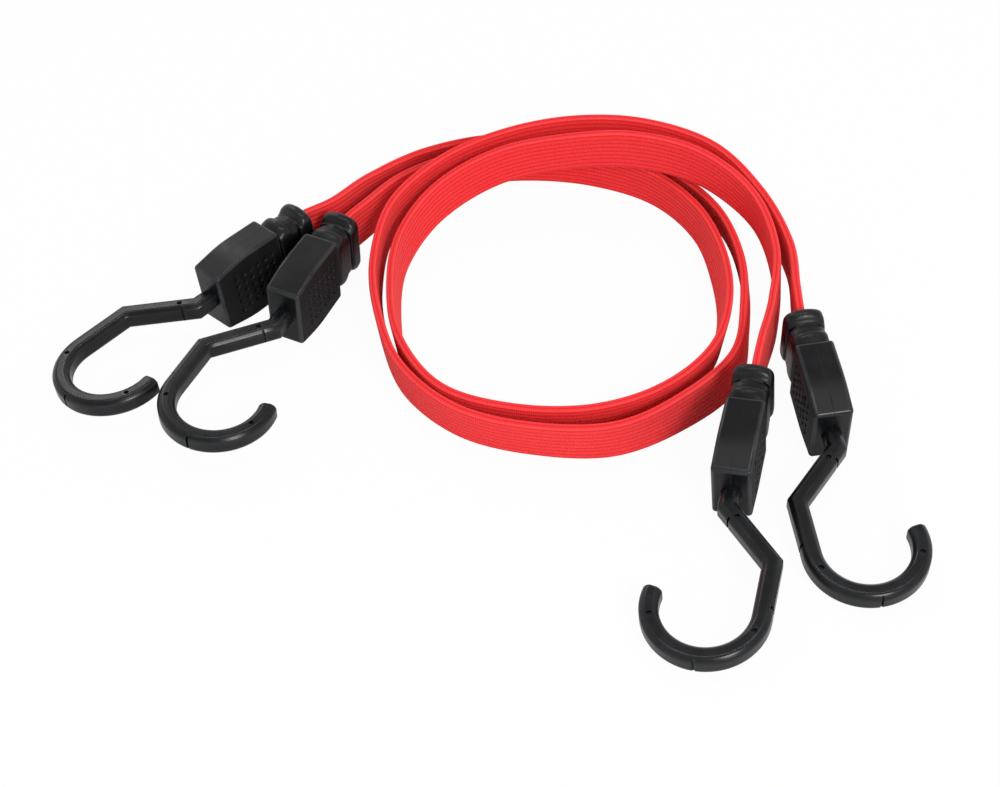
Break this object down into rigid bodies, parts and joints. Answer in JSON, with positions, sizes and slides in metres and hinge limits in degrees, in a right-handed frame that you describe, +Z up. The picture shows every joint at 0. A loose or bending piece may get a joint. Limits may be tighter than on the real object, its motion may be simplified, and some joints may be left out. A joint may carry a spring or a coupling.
{
  "type": "flat bungee cord pair",
  "caption": "Pair of flat elastic bungee cords coiled together, each end in a moulded grip housing with a ribbed boot and a covered swivel hook.",
  "frame": {"origin": "on the table, under the middle of the box round the four end fittings", "axes": "+X to the right along the longest extent, +Y to the back, +Z up"},
  "size_m": [0.2936, 0.2587, 0.04],
  "materials": {
    "hook_plastic": "black satin moulded plastic",
    "housing_plastic": "black satin moulded plastic with a fine grain",
    "boot_rubber": "black soft rubber",
    "elastic": "bright red knitted cover over flat elastic, ribbed lengthways",
    "steel": "plain zinc-plated steel"
  },
  "bodies": {
    "straps_and_housings": {"rear_cord_strap": "elastic", "front_cord_strap": "elastic", "rear_left_housing_half_a": "housing_plastic", "rear_left_housing_half_b": "housing_plastic", "rear_left_strap_boot": "boot_rubber", "rear_left_strap_clip": "steel", "front_left_housing_half_a": "housing_plastic", "front_left_housing_half_b": "housing_plastic", "front_left_strap_boot": "boot_rubber", "front_left_strap_clip": "steel", "front_right_housing_half_a": "housing_plastic", "front_right_housing_half_b": "housing_plastic", "front_right_strap_boot": "boot_rubber", "front_right_strap_clip": "steel", "rear_right_housing_half_a": "housing_plastic", "rear_right_housing_half_b": "housing_plastic", "rear_right_strap_boot": "boot_rubber", "rear_right_strap_clip": "steel"},
    "rear_left_hook": {"rear_left_hook_cover": "hook_plastic", "rear_left_hook_wire": "steel", "rear_left_hook_stop": "steel"},
    "front_left_hook": {"front_left_hook_cover": "hook_plastic", "front_left_hook_wire": "steel", "front_left_hook_stop": "steel"},
    "front_right_hook": {"front_right_hook_cover": "hook_plastic", "front_right_hook_wire": "steel", "front_right_hook_stop": "steel"},
    "rear_right_hook": {"rear_right_hook_cover": "hook_plastic", "rear_right_hook_wire": "steel", "rear_right_hook_stop": "steel"}
  },
  "joints": [
    {"name": "rear_left_swivel", "type": "hinge", "parent": "straps_and_housings", "child": "rear_left_hook", "pos_m": [-0.0949, 0.0606, 0.01356], "axis": [-0.6803, -0.7296, -0.0698], "range_deg": [-140, 140]},
    {"name": "front_left_swivel", "type": "hinge", "parent": "straps_and_housings", "child": "front_left_hook", "pos_m": [-0.06791, 0.0506, 0.01375], "axis": [-0.4144, -0.9094, -0.0349], "continuous": true},
    {"name": "front_right_swivel", "type": "hinge", "parent": "straps_and_housings", "child": "front_right_hook", "pos_m": [0.08409, -0.0334, 0.01303], "axis": [-0.2488, -0.9619, -0.1132], "continuous": true},
    {"name": "rear_right_swivel", "type": "hinge", "parent": "straps_and_housings", "child": "rear_right_hook", "pos_m": [0.12009, -0.0069, 0.01283], "axis": [0.1296, -0.9841, -0.1219], "continuous": true}
  ]
}
